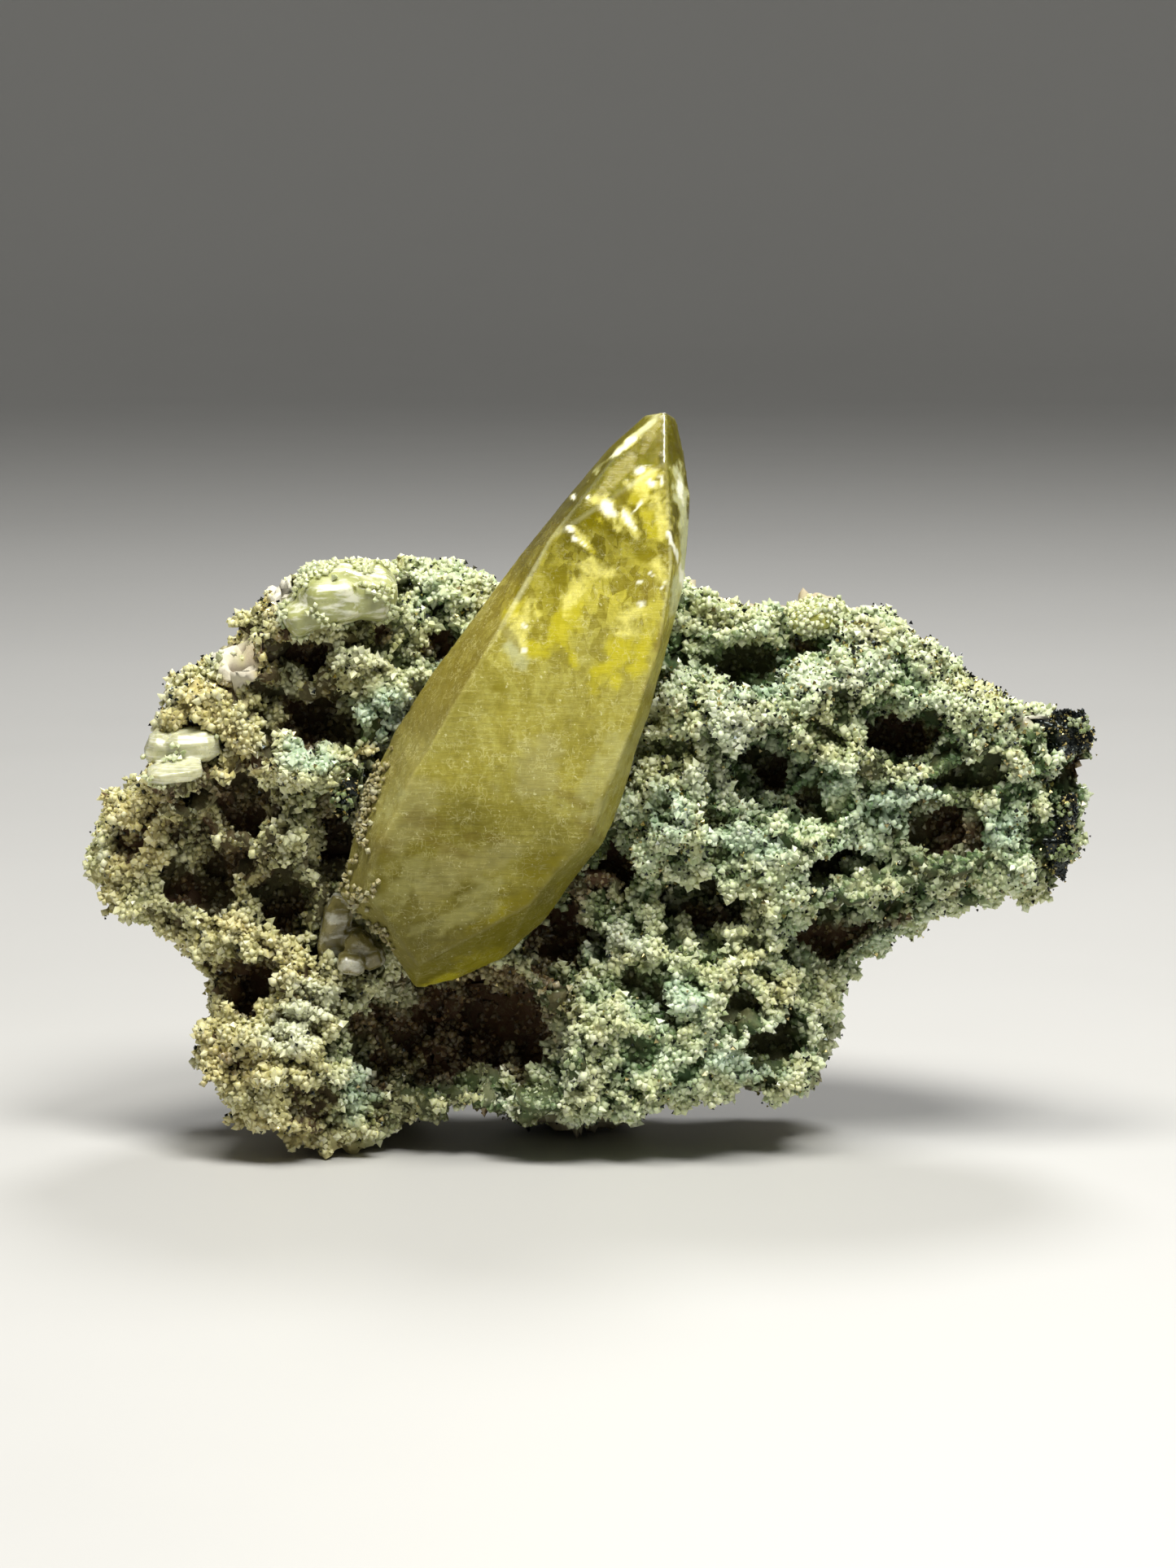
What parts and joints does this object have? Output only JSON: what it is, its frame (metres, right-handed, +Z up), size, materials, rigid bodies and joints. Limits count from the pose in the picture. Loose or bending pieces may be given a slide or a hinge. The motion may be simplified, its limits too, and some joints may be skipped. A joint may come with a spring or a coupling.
{
  "type": "mineral_specimen",
  "caption": "Calcite with chalcopyrite: a large yellow pointed calcite crystal on host rock crusted with pale green and cream crystals, with brassy chalcopyrite grains",
  "frame": {"origin": "centre of the box on the surface the specimen stands on", "axes": "+X to the right across the width, -Y toward the front with the large crystal, +Z up"},
  "size_m": [0.12, 0.0518, 0.0879],
  "materials": {
    "rock_crust": "matte",
    "calcite": "satin",
    "calcite_small": "satin",
    "chalcopyrite": "satin"
  },
  "bodies": {
    "root": {"matrix": "rock_crust", "calcite_crystal": "calcite", "calcite_side_crystals": "calcite_small", "calcite_dome_crystal": "calcite_small", "calcite_blade_crystal": "calcite_small", "calcite_top_right_crystal": "calcite_small", "chalcopyrite_right_end": "chalcopyrite", "chalcopyrite_right_edge": "chalcopyrite", "chalcopyrite_beside_crystal": "chalcopyrite"}
  },
  "joints": []
}
